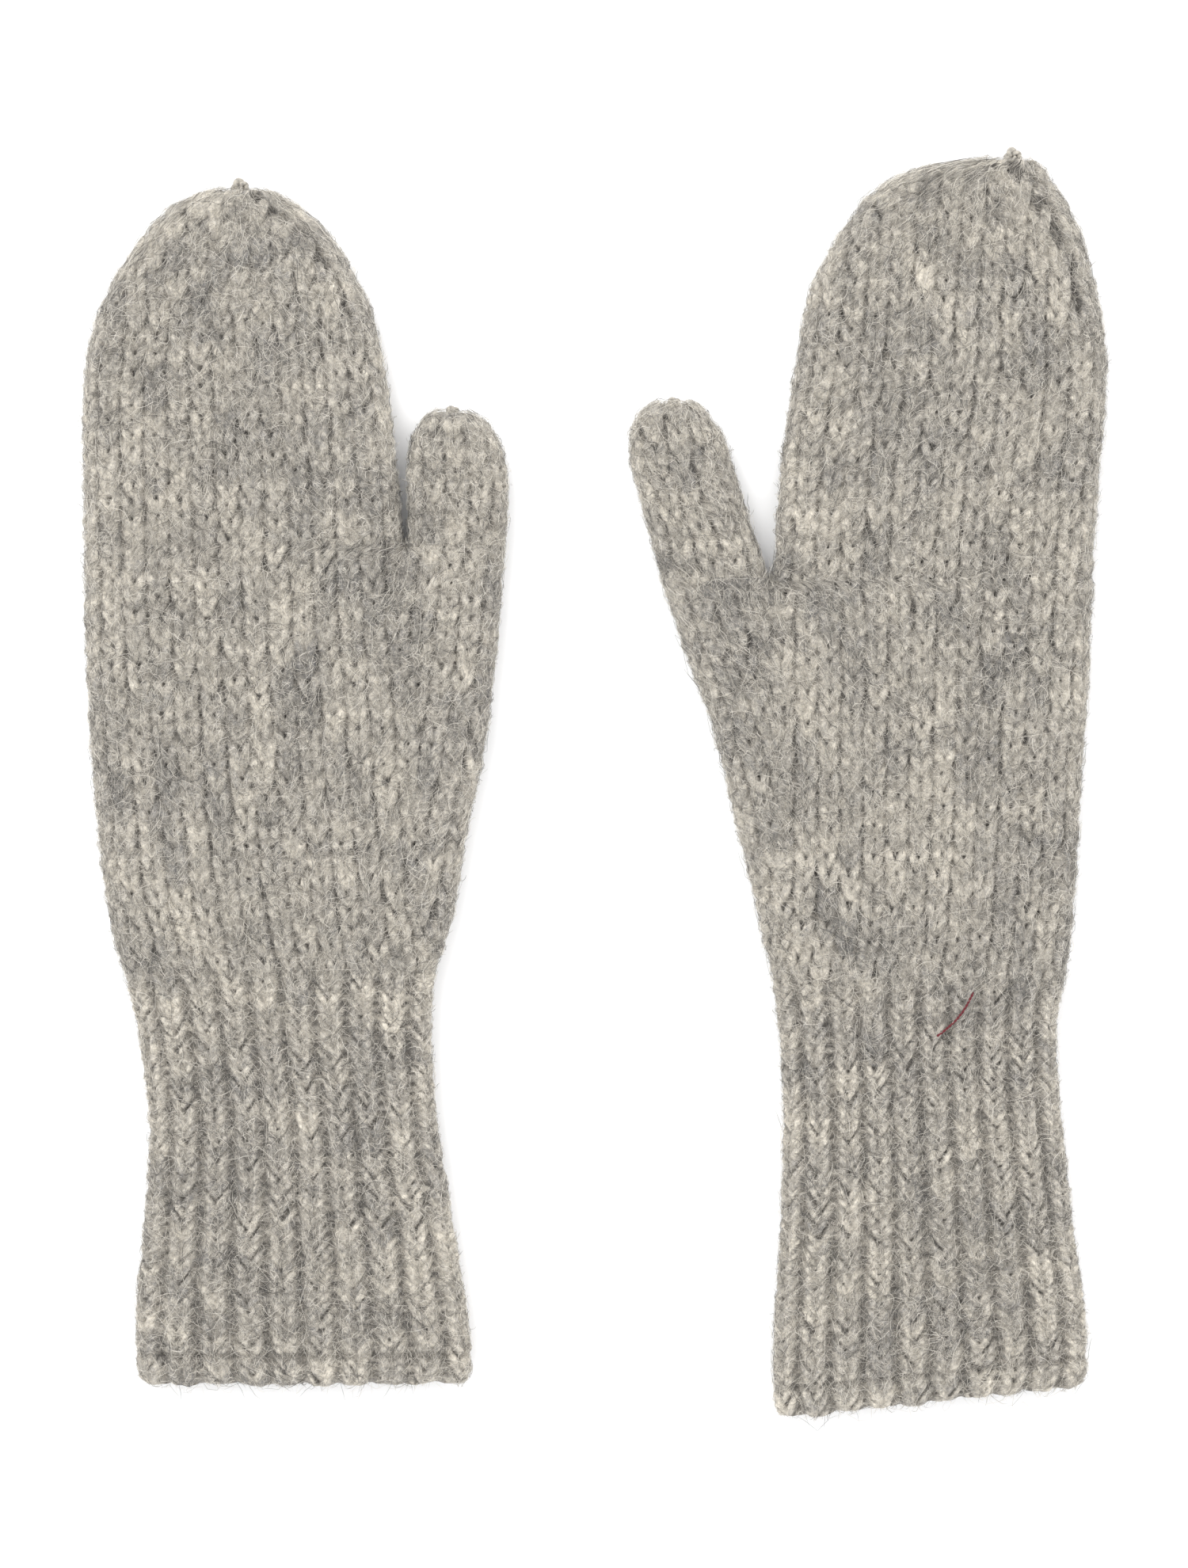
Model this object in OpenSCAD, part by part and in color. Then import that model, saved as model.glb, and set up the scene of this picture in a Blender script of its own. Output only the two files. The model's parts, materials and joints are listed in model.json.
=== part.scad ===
// A pair of long-cuffed knitted mittens, left and right, lying flat with the backs up.
// +X runs from the left mitten to the right one, +Y towards the fingertips, +Z up.
// Millimetres. The origin is under the middle of the pair, on the surface it lies on.

/* [Hands] */
// Flat width of the finger part of a mitten
hand_w = 91.5; // [75:0.5:110]
// Left mitten, wrist to thumb crotch
left_palm_len = 124; // [100:0.5:145]
// Left mitten, thumb crotch to fingertip
left_finger_len = 105; // [85:0.5:130]
// Right mitten, wrist to thumb crotch
right_palm_len = 117.5; // [100:0.5:145]
// Right mitten, thumb crotch to fingertip
right_finger_len = 123.5; // [85:0.5:140]

/* [Thumbs] */
// Left thumb, crotch to tip
left_thumb_len = 40; // [30:0.5:60]
// Right thumb, crotch to tip
right_thumb_len = 52; // [30:0.5:65]
// Length of the picked-up round that joins a thumb to its hand
join_len = 3; // [2:0.5:6]

/* [Cuffs] */
// Length of the left ribbed cuff with its hem
left_cuff_len = 120; // [80:0.5:150]
// Length of the right ribbed cuff with its hem, at its middle
right_cuff_len = 122.5; // [80:0.5:150]
// Length of the rolled hem
hem_len = 8; // [5:0.5:14]
// Slant of the right cuff's hem, as rise over run
hem_slant = 0.11; // [0:0.01:0.15]

/* [Fabric] */
// Thickness of one layer of the felted knit
wall = 3.2; // [2:0.1:4]
// Height of a mitten lying flat
lie_h = 16; // [13:0.5:24]
// Radius of the yarn knot that closes a tip
knot_r = 2.6; // [1.5:0.1:3]

/* [Tack thread] */
// Diameter of the red sewing thread on the right cuff
thread_d = 0.7; // [0.4:0.1:1.2]
// Length of that thread, end to end
thread_len = 16; // [8:0.5:24]

/* [Pair] */
// Distance between the two wrist middles
wrist_pitch = 185.5; // [165:0.5:240]
// How much lower the right wrist lies than the left
wrist_drop = 3; // [0:0.5:10]
// Gap at each bend, so the sections clear each other
bend_gap = 0.6; // [0.6:0.1:1.2]

/* [Hidden] */
sides = 32;
step = 9;
edge_pow = 0.62;
dome_pow = 0.78;
belly = 1.16;
thread_lift = 0.12;
thread_sweep = 40;
$fn = 48;

// Outline rows: [share of the section's length, left edge, right edge, height]. Edges are in hand
// widths from the wrist's middle, heights in lie_h.
left_palm = [
    [0.00, -0.503, 0.498, 0.96],
    [0.16, -0.553, 0.555, 1.00],
    [0.31, -0.578, 0.593, 1.00],
    [0.61, -0.613, 0.666, 1.00],
    [1.00, -0.626, 0.719, 1.00]
];
left_finger = [
    [0.00, -0.626, 0.394, 1.00],
    [0.25, -0.628, 0.367, 1.00],
    [0.48, -0.622, 0.338, 1.00],
    [0.66, -0.575, 0.286, 0.96],
    [0.82, -0.476, 0.188, 0.86],
    [0.93, -0.366, 0.074, 0.70],
    [0.98, -0.270, -0.010, 0.58],
    [1.00, -0.205, -0.060, 0.50]
];
left_thumb = [
    [0.00, 0.407, 0.719, 1.00],
    [0.40, 0.406, 0.722, 0.97],
    [0.64, 0.403, 0.714, 0.90],
    [0.84, 0.426, 0.676, 0.80],
    [0.94, 0.456, 0.640, 0.66],
    [1.00, 0.500, 0.592, 0.50]
];
left_cuff = [
    [0.00, -0.503, 0.498, 0.96],
    [0.14, -0.465, 0.485, 0.92],
    [0.29, -0.435, 0.498, 0.92],
    [0.44, -0.427, 0.520, 0.94],
    [0.75, -0.462, 0.588, 0.98],
    [0.93, -0.465, 0.616, 1.00],
    [1.00, -0.448, 0.598, 0.90]
];
right_palm = [
    [0.00, -0.467, 0.470, 0.96],
    [0.20, -0.520, 0.495, 1.00],
    [0.51, -0.616, 0.523, 1.00],
    [0.67, -0.668, 0.535, 1.00],
    [0.82, -0.744, 0.548, 1.00],
    [1.00, -0.822, 0.555, 1.00]
];
right_finger = [
    [0.00, -0.465, 0.555, 1.00],
    [0.28, -0.438, 0.578, 1.00],
    [0.50, -0.390, 0.600, 1.00],
    [0.66, -0.352, 0.573, 0.96],
    [0.82, -0.246, 0.515, 0.86],
    [0.93, -0.107, 0.436, 0.70],
    [0.98, 0.080, 0.390, 0.58],
    [1.00, 0.240, 0.370, 0.50]
];
right_thumb = [
    [0.00, -0.822, -0.476, 1.00],
    [0.35, -0.870, -0.542, 0.97],
    [0.66, -0.918, -0.596, 0.90],
    [0.84, -0.909, -0.628, 0.80],
    [0.95, -0.872, -0.674, 0.66],
    [1.00, -0.825, -0.725, 0.50]
];
right_cuff = [
    [0.00, -0.467, 0.470, 0.96],
    [0.12, -0.450, 0.447, 0.92],
    [0.27, -0.438, 0.457, 0.92],
    [0.57, -0.447, 0.497, 0.96],
    [0.75, -0.466, 0.528, 0.98],
    [0.93, -0.470, 0.545, 1.00],
    [1.00, -0.452, 0.528, 0.90]
];
// Shares of a section's length where one piece ends and the next begins
decrease_from = 0.5;
left_hem_share = hem_len / left_cuff_len;
right_hem_share = hem_len / right_cuff_len;

// A smooth curve through the rows, one column at a time
function row_before(rows, t, i = 0) =
    (i >= len(rows) - 2 || t <= rows[i + 1][0]) ? i : row_before(rows, t, i + 1);
function lean(rows, c, i) =
    let (a = max(i - 1, 0), b = min(i + 1, len(rows) - 1))
    (rows[b][c] - rows[a][c]) / (rows[b][0] - rows[a][0]);
function along(rows, c, t) =
    let (
        i = row_before(rows, t),
        d = rows[i + 1][0] - rows[i][0],
        u = (t - rows[i][0]) / d,
        m0 = lean(rows, c, i) * d,
        m1 = lean(rows, c, i + 1) * d
    )
    (2 * u ^ 3 - 3 * u ^ 2 + 1) * rows[i][c] + (u ^ 3 - 2 * u ^ 2 + u) * m0
    + (3 * u ^ 2 - 2 * u ^ 3) * rows[i + 1][c] + (u ^ 3 - u ^ 2) * m1;

// One round of fabric: a flattened tube, domed above and flat below, drawn in by inset
function round_at(rows, t, y, slant, inset) =
    let (
        xl = along(rows, 1, t) * hand_w,
        xr = along(rows, 2, t) * hand_w,
        h = along(rows, 3, t) * lie_h,
        mid = (xl + xr) / 2,
        half = (xr - xl) / 2 - inset,
        rise = h / 2 - inset
    )
    [for (i = [0:sides - 1])
        let (
            a = 360 * (i + 0.5) / sides,
            x = mid + half * sign(cos(a)) * abs(cos(a)) ^ edge_pow,
            swell = abs(sin(a)) ^ dome_pow,
            z = sin(a) > 0 ? swell : -min(1, belly * swell)
        )
        [x, y + slant * x, h / 2 + rise * z]];

// Where the rounds of a piece lie, closer together towards a shut end
function shares(t0, t1, len, shut = false) = let (n = max(1, round((t1 - t0) * len / step)) + (shut ? 2 : 0))
    [for (i = [0:n]) t0 + (t1 - t0) * (shut ? sin(90 * i / n) : i / n)];

// The rounds of a section from share t0 to t1. y runs from y0 in the sense of dir.
function rounds(rows, ts, len, y0, dir, slant, inset) =
    [for (t = ts) round_at(rows, t, y0 + dir * t * len, slant * t, inset)];

function flat_list(rings) = [for (r = rings) each r];
function lowest(points, c) = min([for (p = points) p[c]]);
function highest(points, c) = max([for (p = points) p[c]]);

// A closed solid between an outer and an inner stack of rounds. An inner stack that is one round
// shorter leaves a closed end.
module shell(outer, inner) {
    no = len(outer);
    ni = len(inner);
    shut = ni < no;
    base = no * sides;
    skin_out = [for (r = [0:no - 2], i = [0:sides - 1])
        let (j = (i + 1) % sides, a = r * sides + i, b = r * sides + j)
        each [[a, b, b + sides], [a, b + sides, a + sides]]];
    skin_in = [for (r = [0:ni - 2], i = [0:sides - 1])
        let (j = (i + 1) % sides, a = base + r * sides + i, b = base + r * sides + j)
        each [[a, b + sides, b], [a, a + sides, b + sides]]];
    mouth = [for (i = [0:sides - 1])
        let (j = (i + 1) % sides)
        each [[i, base + j, j], [i, base + i, base + j]]];
    o = (no - 1) * sides;
    n = base + (ni - 1) * sides;
    rim = [for (i = [0:sides - 1])
        let (j = (i + 1) % sides)
        each [[o + i, o + j, n + j], [o + i, n + j, n + i]]];
    lid_out = [for (i = [1:sides - 2]) [o, o + i, o + i + 1]];
    lid_in = [for (i = [1:sides - 2]) [n, n + i + 1, n + i]];
    polyhedron(
        points = concat(flat_list(outer), flat_list(inner)),
        faces = concat(skin_out, skin_in, mouth, shut ? concat(lid_out, lid_in) : rim)
    );
}

function but_last(list) = [for (i = [0:len(list) - 2]) list[i]];

// A tube open at both ends, or shut at its far end
module tube(rows, t0, t1, len, y0, dir, slant, shut) {
    ts = shares(t0, t1, len, shut);
    outer = rounds(rows, ts, len, y0, dir, slant, 0);
    inner = rounds(rows, shut ? but_last(ts) : ts, len, y0, dir, slant, wall);
    mirrored = dir > 0;
    shell(
        mirrored ? outer : [for (r = outer) flipped(r)],
        mirrored ? inner : [for (r = inner) flipped(r)]
    );
}
function flipped(ring) = [for (i = [sides - 1:-1:0]) ring[i]];

// The knot of yarn that draws a tip shut, standing on the tip's flat end
module knot(rows, y_end) {
    x = (rows[len(rows) - 1][1] + rows[len(rows) - 1][2]) / 2 * hand_w;
    z = rows[len(rows) - 1][3] * lie_h / 2;
    translate([x, y_end, z])
        rotate([-90, 0, 0])
            intersection() {
                sphere(r = knot_r);
                cylinder(r = 2 * knot_r, h = 2 * knot_r);
            }
}

// Lengths, levels and offsets of each mitten. The wrist's middle is at x = 0, y = 0.
half_gap = bend_gap / 2;
left_crotch = left_palm_len;
right_crotch = right_palm_len;

function sheer_gap(len) = half_gap / len;

left_at = [0, 0];
right_at = [wrist_pitch, -wrist_drop];

left_outline = concat(
    flat_list(rounds(left_cuff, shares(sheer_gap(left_cuff_len), 1 - left_hem_share, left_cuff_len),
        left_cuff_len, 0, -1, 0, 0)),
    flat_list(rounds(left_cuff, shares(1 - left_hem_share, 1, left_cuff_len), left_cuff_len, 0, -1, 0, 0)),
    flat_list(rounds(left_palm, shares(sheer_gap(left_palm_len), 1 - sheer_gap(left_palm_len), left_palm_len),
        left_palm_len, 0, 1, 0, 0)),
    flat_list(rounds(left_finger, shares(sheer_gap(left_finger_len), decrease_from, left_finger_len),
        left_finger_len, left_crotch, 1, 0, 0)),
    flat_list(rounds(left_finger, shares(decrease_from, 1, left_finger_len, true), left_finger_len, left_crotch,
        1, 0, 0))
);
right_outline = concat(
    flat_list(rounds(right_cuff, shares(1 - right_hem_share, 1, right_cuff_len),
        right_cuff_len, 0, -1, hem_slant, 0)),
    flat_list(rounds(right_cuff, shares(sheer_gap(right_cuff_len), 1 - right_hem_share, right_cuff_len),
        right_cuff_len, 0, -1, hem_slant, 0)),
    flat_list(rounds(right_finger, shares(sheer_gap(right_finger_len), decrease_from, right_finger_len),
        right_finger_len, right_crotch, 1, 0, 0)),
    flat_list(rounds(right_finger, shares(decrease_from, 1, right_finger_len, true), right_finger_len,
        right_crotch, 1, 0, 0))
);
left_top = left_crotch + left_finger_len + knot_r + left_at[1];
right_top = right_crotch + right_finger_len + knot_r + right_at[1];
x_lo = lowest(left_outline, 0) + left_at[0];
x_hi = highest(right_outline, 0) + right_at[0];
y_lo = min(lowest(left_outline, 1) + left_at[1], lowest(right_outline, 1) + right_at[1]);
y_hi = max(left_top, right_top);
shift = [-(x_lo + x_hi) / 2, -(y_lo + y_hi) / 2, 0];

module on_left() {
    translate([shift[0] + left_at[0], shift[1] + left_at[1], 0]) children();
}
module on_right() {
    translate([shift[0] + right_at[0], shift[1] + right_at[1], 0]) children();
}

wool = [0.62, 0.59, 0.55];
wool_dark = [0.5, 0.475, 0.44];

module left_hand() {
    g = sheer_gap(left_palm_len);
    color(wool) on_left() tube(left_palm, g, 1 - g, left_palm_len, 0, 1, 0, false);
}
module left_fingers() {
    g = sheer_gap(left_finger_len);
    color(wool) on_left() tube(left_finger, g, decrease_from, left_finger_len, left_crotch, 1, 0, false);
}
module left_tip() {
    color(wool) on_left() tube(left_finger, decrease_from, 1, left_finger_len, left_crotch, 1, 0, true);
}
module left_tip_knot() {
    color(wool_dark) on_left() knot(left_finger, left_crotch + left_finger_len);
}
module left_thumb_join() {
    g = sheer_gap(left_thumb_len);
    color(wool_dark) on_left()
        tube(left_thumb, g, g + join_len / left_thumb_len, left_thumb_len, left_crotch, 1, 0, false);
}
module left_thumb() {
    g = sheer_gap(left_thumb_len) + join_len / left_thumb_len;
    color(wool) on_left() tube(left_thumb, g, 1, left_thumb_len, left_crotch, 1, 0, true);
}
module left_thumb_knot() {
    color(wool_dark) on_left() knot(left_thumb, left_crotch + left_thumb_len);
}
module left_cuff() {
    g = sheer_gap(left_cuff_len);
    color(wool) on_left() tube(left_cuff, g, 1 - left_hem_share, left_cuff_len, 0, -1, 0, false);
}
module left_hem() {
    color(wool_dark) on_left() tube(left_cuff, 1 - left_hem_share, 1, left_cuff_len, 0, -1, 0, false);
}

module right_hand() {
    g = sheer_gap(right_palm_len);
    color(wool) on_right() tube(right_palm, g, 1 - g, right_palm_len, 0, 1, 0, false);
}
module right_fingers() {
    g = sheer_gap(right_finger_len);
    color(wool) on_right() tube(right_finger, g, decrease_from, right_finger_len, right_crotch, 1, 0, false);
}
module right_tip() {
    color(wool) on_right() tube(right_finger, decrease_from, 1, right_finger_len, right_crotch, 1, 0, true);
}
module right_tip_knot() {
    color(wool_dark) on_right() knot(right_finger, right_crotch + right_finger_len);
}
module right_thumb_join() {
    g = sheer_gap(right_thumb_len);
    color(wool_dark) on_right()
        tube(right_thumb, g, g + join_len / right_thumb_len, right_thumb_len, right_crotch, 1, 0, false);
}
module right_thumb() {
    g = sheer_gap(right_thumb_len) + join_len / right_thumb_len;
    color(wool) on_right() tube(right_thumb, g, 1, right_thumb_len, right_crotch, 1, 0, true);
}
module right_thumb_knot() {
    color(wool_dark) on_right() knot(right_thumb, right_crotch + right_thumb_len);
}
module right_cuff() {
    g = sheer_gap(right_cuff_len);
    color(wool) on_right() tube(right_cuff, g, 1 - right_hem_share, right_cuff_len, 0, -1, hem_slant, false);
}
module right_hem() {
    color(wool_dark) on_right()
        tube(right_cuff, 1 - right_hem_share, 1, right_cuff_len, 0, -1, hem_slant, false);
}
module tack_thread() {
    bow_r = thread_len / 2 / sin(thread_sweep / 2);
    z = lie_h * 0.96 + thread_d / 2 + thread_lift;
    color([0.45, 0.12, 0.13]) on_right()
        translate([9, -8, z])
            rotate([0, 0, 51 - thread_sweep / 2 + 90])
                translate([-bow_r * cos(thread_sweep / 2), -bow_r * sin(thread_sweep / 2), 0])
                    rotate_extrude(angle = thread_sweep)
                        translate([bow_r, 0])
                            circle(d = thread_d);
}

left_hand();
left_fingers();
left_tip();
left_tip_knot();
left_thumb_join();
left_thumb();
left_thumb_knot();
left_cuff();
left_hem();
right_hand();
right_fingers();
right_tip();
right_tip_knot();
right_thumb_join();
right_thumb();
right_thumb_knot();
right_cuff();
right_hem();
tack_thread();
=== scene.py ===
import json
import math

import bpy
import numpy as np
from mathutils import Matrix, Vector


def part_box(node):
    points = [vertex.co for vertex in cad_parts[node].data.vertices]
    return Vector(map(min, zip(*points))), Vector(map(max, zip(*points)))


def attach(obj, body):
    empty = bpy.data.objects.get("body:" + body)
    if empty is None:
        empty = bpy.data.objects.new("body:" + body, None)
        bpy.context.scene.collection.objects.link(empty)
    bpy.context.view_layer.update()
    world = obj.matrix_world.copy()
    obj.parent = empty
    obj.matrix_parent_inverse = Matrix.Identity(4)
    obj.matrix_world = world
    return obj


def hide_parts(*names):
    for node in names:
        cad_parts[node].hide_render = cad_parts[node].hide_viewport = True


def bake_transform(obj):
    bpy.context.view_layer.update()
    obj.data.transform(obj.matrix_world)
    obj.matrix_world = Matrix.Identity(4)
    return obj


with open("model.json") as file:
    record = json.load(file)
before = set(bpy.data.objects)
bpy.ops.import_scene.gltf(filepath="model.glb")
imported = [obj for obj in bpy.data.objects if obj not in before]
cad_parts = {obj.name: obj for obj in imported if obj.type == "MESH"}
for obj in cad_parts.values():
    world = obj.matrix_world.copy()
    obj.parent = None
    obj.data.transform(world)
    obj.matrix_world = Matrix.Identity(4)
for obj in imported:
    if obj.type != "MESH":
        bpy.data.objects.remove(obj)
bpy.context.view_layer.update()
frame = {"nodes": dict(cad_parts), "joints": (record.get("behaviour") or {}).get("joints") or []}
joints = {j["name"]: j for j in frame["joints"]}

# Lengths are in millimetres where nothing else is said; a mesh is scaled to metres when it is made.
MM = 0.001

# The fabric of a tube
GRID = 0.48  # spacing of its vertices
INSET = 1.2  # from the CAD surface in to the fabric's middle, which the stitches stand out of
LOW_FACE = 1.35  # height of the underside's middle
WALL = 3.2
EDGE_REACH = 15.0  # how far in from a fold the top surface takes to reach its full height
FLOOR_CLEAR = 0.06

# The knitting
COURSE = 4.75  # height of a round of stockinette
RIB_COURSE = 2.9
MAIN_WALES = 14  # stockinette columns on one face of a hand
THUMB_WALES = 5
GUSSET_WALES = 6
RIBS = 20  # ribs round a cuff
RIB_WIDE = 0.78  # a rib's share of its period
DECREASE_SHARE = 0.6  # share of the finger tube's length where the decreases start
THUMB_DECREASE_SHARE = 0.62
BAND = 1.35  # the edge band up the side of a tip, in wales
HEM_LINE = 8.6  # from the cuff's mouth up to the groove over its hem
THUMB_JOIN = 3.0
TURN_OVER = (-3.5, 4.5)  # where rib gives way to stockinette, from the wrist
TURN_REACH = 6.0  # how far past the wrist both patterns are worked out
SPILL = 9.0  # how far past a piece's ends its pattern is worked out

# A leg's run of yarn as (courses along, wales across, height), from the V's foot to its head
PLAIN_LEG = ((-0.48, 0.07, 0.5), (0.18, 0.26, 1.0), (0.88, 0.39, -0.1))
RIB_LEG = ((-0.66, 0.05, 0.42), (0.1, 0.26, 1.0), (0.74, 0.44, 0.05))
LEG_THICK = 0.215  # half the yarn, in wales
RIB_THICK = 0.15
PEAK = 1.15  # height of the yarn's crown over the fabric's middle
GROUND = -1.15
SOFTNESS = 7.0  # a low value melts neighbouring legs together

# The loose fibres
FUZZ = {"hand": 2.0, "fingers": 2.0, "thumb": 2.2, "cuff": 2.0}  # fibres on a square millimetre
LONG_SHARE = 0.045

# The floor, the light and the camera, in metres and watts
FLOOR_SIZE = 6.0
WORLD_LIGHT = 1.32
LONG_SIDE = 0.4554  # of the mittens' mid-height plane, along the frame's long side
MID_HEIGHT = 0.010


def hash_text(text):
    """A number from a text, the same on every run."""
    value = 2166136261
    for ch in text:
        value = (value ^ ord(ch)) * 16777619 & 0xFFFFFFFF
    return value


def rng_of(*key):
    return np.random.default_rng([hash_text(k) for k in key])


LATTICE = np.random.default_rng(11).random((64, 64, 64)).astype(np.float32)


def noise(x, y, z, size):
    """Smooth value noise from 0 to 1 on points, with features of this size."""
    p = [np.asarray(v, np.float64) / size for v in (x, y, z)]
    cell = [np.floor(v).astype(np.int64) for v in p]
    f = [v - c for v, c in zip(p, cell)]
    f = [v * v * (3 - 2 * v) for v in f]
    total = 0
    for corner in range(8):
        bits = [(corner >> k) & 1 for k in range(3)]
        idx = tuple((c + b) % len(LATTICE) for c, b in zip(cell, bits))
        weight = 1
        for v, b in zip(f, bits):
            weight = weight * (v if b else 1 - v)
        total = total + weight * LATTICE[idx]
    return total


def cell_value(i, j, salt):
    """A repeatable random number from 0 to 1 for a stitch's place."""
    h = (np.asarray(i, np.int64) * 73856093) ^ (np.asarray(j, np.int64) * 19349663) ^ (salt * 83492791)
    h = ((h ^ (h >> 13)) & 0x7FFFFFFF) * 1274126177 & 0x7FFFFFFF
    h = (h ^ (h >> 16)) * 668265263 & 0x7FFFFFFF
    return (h % 100003) / 100003.0


# ---------------------------------------------------------------- outlines from the CAD


def node_mesh(*names):
    """Points and edges of some CAD nodes together, in millimetres."""
    points, edges, base = [], [], 0
    for name in names:
        mesh = frame["nodes"][name].data
        co = np.empty(len(mesh.vertices) * 3, np.float32)
        mesh.vertices.foreach_get("co", co)
        ends = np.empty(len(mesh.edges) * 2, np.int32)
        mesh.edges.foreach_get("vertices", ends)
        points.append(co.reshape(-1, 3).astype(float) / MM)
        edges.append(ends.reshape(-1, 2) + base)
        base += len(mesh.vertices)
    return np.vstack(points), np.vstack(edges)


def outline(points, edges, along, levels):
    """Left edge, right edge and height of a node's sections at these levels."""
    a, b = along[edges[:, 0]], along[edges[:, 1]]
    rows = []
    for level in levels:
        hit = (a - level) * (b - level) <= 0
        hit &= np.abs(a - b) > 1e-9
        t = ((level - a[hit]) / (b[hit] - a[hit]))[:, None]
        cut = points[edges[hit, 0]] * (1 - t) + points[edges[hit, 1]] * t
        rows.append((cut[:, 0].min(), cut[:, 0].max(), cut[:, 2].max()))
    return np.array(rows)


class Section:
    """A tube of the mitten between two levels, with its outline as smooth functions."""

    def __init__(self, points, edges, along, low, high):
        inside = 0.05  # keeps a cut off the very ends
        self.low, self.high = low, high
        self.levels = np.linspace(along.min() + inside, along.max() - inside, 90)
        rows = outline(points, edges, along, self.levels)
        wide = np.array([1.0, 2.0, 3.0, 2.0, 1.0])
        wide /= wide.sum()
        for c in range(3):
            rows[2:-2, c] = np.convolve(rows[:, c], wide, mode="valid")
        self.rows = rows

    def at(self, level):
        return [np.interp(level, self.levels, self.rows[:, c]) for c in range(3)]


def mouth_line(points):
    """Level of the cuff's mouth as a + b * x."""
    x = points[:, 0]
    span = x.max() - x.min()
    left = points[x < x.min() + 0.12 * span]
    right = points[x > x.max() - 0.12 * span]
    p, q = left[left[:, 1].argmin()], right[right[:, 1].argmin()]
    b = (q[1] - p[1]) / (q[0] - p[0])
    return p[1] - b * p[0], b


class Mitten:
    """One mitten's sections and the lines where they meet, all measured on the CAD."""

    def __init__(self, side):
        self.side = side
        self.sign = 1 if side == "left" else -1  # which way the thumb points along X
        self.wrist = joints[side + "_wrist_fold"]["pos_m"][1] / MM
        self.crotch = joints[side + "_knuckles"]["pos_m"][1] / MM
        parts = {
            "hand": ["hand"],
            "fingers": ["fingers", "tip"],
            "thumb": ["thumb_join", "thumb"],
            "cuff": ["cuff", "hem"],
        }
        self.sections = {}
        for name, nodes in parts.items():
            points, edges = node_mesh(*(f"{side}_{node}" for node in nodes))
            along = points[:, 1].copy()
            if name == "cuff":
                self.mouth = mouth_line(points)
                full = self.wrist - (self.mouth[0] + self.mouth[1] * points[:, 0])
                self.cuff_len = float(self.wrist - self.mouth[0] - self.mouth[1] * points[:, 0].mean())
                along = -(self.wrist - along) / full * self.cuff_len + self.wrist
            self.sections[name] = Section(points, edges, along, along.min(), along.max())
        thumb, fingers = self.sections["thumb"], self.sections["fingers"]
        inner = fingers.at(self.crotch)[1 if self.sign > 0 else 0]
        outer = thumb.at(self.crotch)[0 if self.sign > 0 else 1]
        self.crotch_x = (inner + outer) / 2
        girth = self.loops("thumb", [self.crotch + 1.0], 64)[1]
        self.thumb_wale = float(girth[0]) / (2 * THUMB_WALES)

    def fix(self, name, x, level):
        """Y of a cuff point from its level, which slants towards the mouth."""
        if name != "cuff":
            return level + 0 * x
        full = self.wrist - (self.mouth[0] + self.mouth[1] * x)
        return self.wrist - (self.wrist - level) / self.cuff_len * full

    def seam_x(self, level):
        """Where the thumb gusset meets the hand."""
        hand = self.sections["hand"]
        share = np.clip((level - self.wrist) / (self.crotch - self.wrist), 0, 1)
        start = hand.at(self.wrist)[1 if self.sign > 0 else 0]
        return start + (self.crotch_x - start) * share

    def loops(self, name, levels, columns, inset=INSET, low_z=LOW_FACE):
        """Rounds of points at these levels, evenly spaced, from the outer fold over the top.

        With them come each round's girth, and how far along it the inner fold and the gusset's
        seam are."""
        sec = self.sections[name]
        q = np.linspace(0, math.pi, 420)
        out = np.empty((len(levels), columns, 3))
        girth, inner, seam = np.empty(len(levels)), np.empty(len(levels)), np.empty(len(levels))
        for r, level in enumerate(levels):
            xl, xr, height = sec.at(level)
            mid, half = (xl + xr) / 2, (xr - xl) / 2 - inset
            top_z = height - inset
            middle, rise = (top_z + low_z) / 2, (top_z - low_z) / 2
            x = mid - self.sign * half * np.cos(q)
            depth = half - np.abs(x - mid)
            if name == "hand":
                from_crotch = np.hypot(x - self.crotch_x, level - self.crotch) - 1.2
                depth = np.minimum(depth, np.maximum(from_crotch, 0))
            reach = min(EDGE_REACH, half)
            swell = np.sqrt(np.maximum(0, 1 - (1 - np.minimum(depth / reach, 1)) ** 2.6))
            xs = np.concatenate([x, x[-2:0:-1]])
            under = middle - rise * np.minimum(1, 1.22 * swell)  # a flatter face than the top
            zs = np.concatenate([middle + rise * swell, under[-2:0:-1]])
            closed_x, closed_z = np.append(xs, xs[0]), np.append(zs, zs[0])
            arc = np.concatenate([[0], np.cumsum(np.hypot(np.diff(closed_x), np.diff(closed_z)))])
            s = np.arange(columns) / columns * arc[-1]
            out[r, :, 0] = np.interp(s, arc, closed_x)
            out[r, :, 2] = np.interp(s, arc, closed_z)
            out[r, :, 1] = self.fix(name, out[r, :, 0], level)
            girth[r], inner[r] = arc[-1], arc[len(x) - 1]
            seam[r] = np.interp(self.sign * self.seam_x(level), self.sign * x, arc[: len(x)])
        return out, girth, inner, seam


# ---------------------------------------------------------------- stitches


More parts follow.
